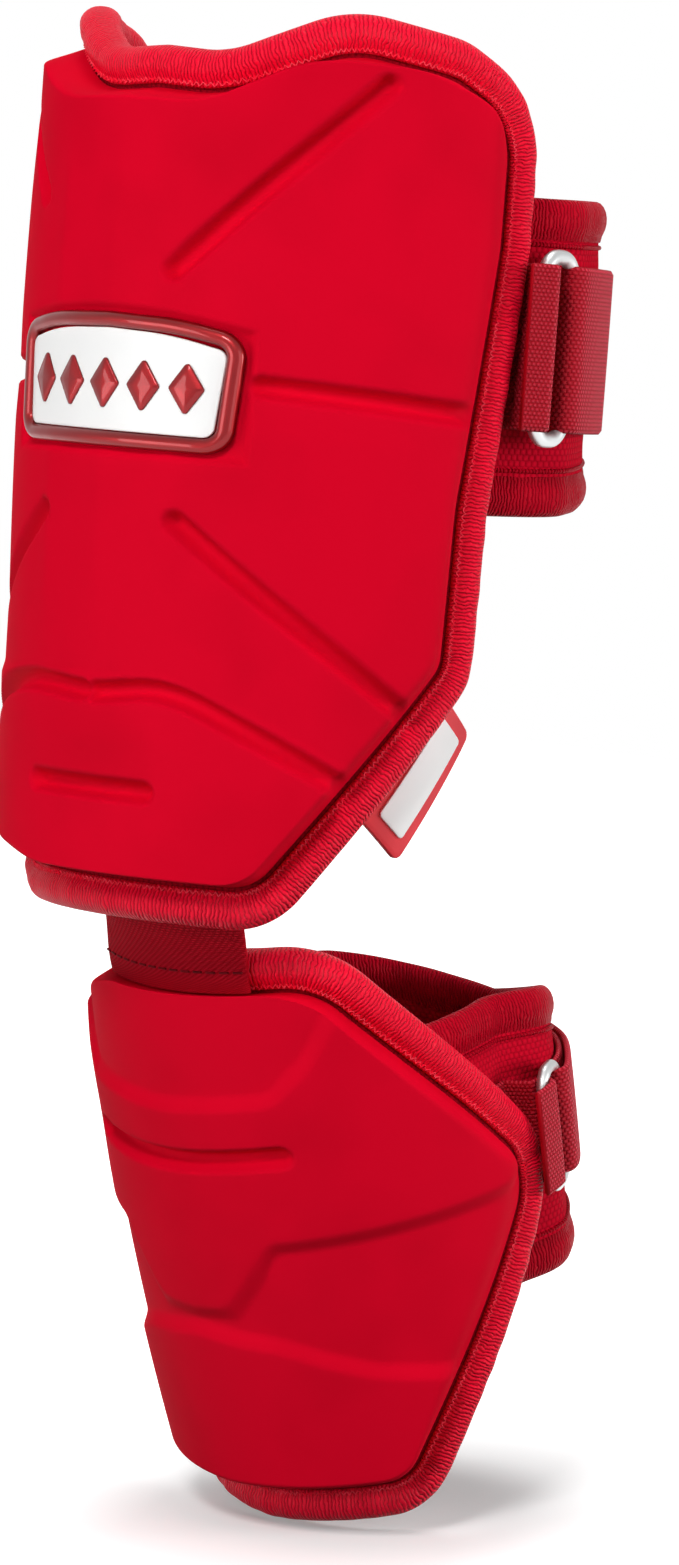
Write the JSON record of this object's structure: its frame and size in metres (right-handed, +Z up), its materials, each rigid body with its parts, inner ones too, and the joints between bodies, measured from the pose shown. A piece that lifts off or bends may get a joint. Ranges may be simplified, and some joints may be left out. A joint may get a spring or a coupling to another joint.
{
  "type": "baseball elbow guard",
  "caption": "Padded elbow guard for batting: a long upper and a short lower shell with moulded foam caps, joined by an elastic link and closed round the arm by straps.",
  "frame": {"origin": "on the arm's axis at the elbow, between the two shells", "axes": "+Z up the upper arm, the front of the guard faces -Y, the rings are on the +X side"},
  "size_m": [0.1284, 0.1471, 0.3441],
  "materials": {
    "cap": "smooth red cloth laminated to moulded foam, matt with a soft sheen",
    "lining": "red brushed mesh over thin padding",
    "binding": "red ribbed elastic edge tape with zigzag stitching",
    "webbing": "red woven webbing",
    "elastic": "dark red twill elastic",
    "steel": "nickel-plated steel wire",
    "red_chrome": "dark red metallised plastic",
    "white_plate": "smooth white plastic",
    "tag_rubber": "moulded red rubber"
  },
  "bodies": {
    "root": {"upper_backing": "lining", "upper_binding": "binding", "upper_cap": "cap", "upper_strap": "lining", "upper_strap_binding_top": "binding", "upper_strap_binding_bottom": "binding", "upper_ring": "steel", "upper_anchor_webbing": "webbing", "upper_pull_webbing": "webbing", "lower_backing": "lining", "lower_binding": "binding", "lower_cap": "cap", "lower_strap": "lining", "lower_strap_binding_top": "binding", "lower_strap_binding_bottom": "binding", "lower_ring": "steel", "lower_anchor_webbing": "webbing", "lower_pull_webbing": "webbing", "badge_frame": "red_chrome", "badge_plate": "white_plate", "badge_lozenge_1": "red_chrome", "badge_lozenge_2": "red_chrome", "badge_lozenge_3": "red_chrome", "badge_lozenge_4": "red_chrome", "badge_lozenge_5": "red_chrome", "edge_tag": "tag_rubber", "edge_tag_panel": "white_plate", "elbow_link": "elastic"}
  },
  "joints": []
}
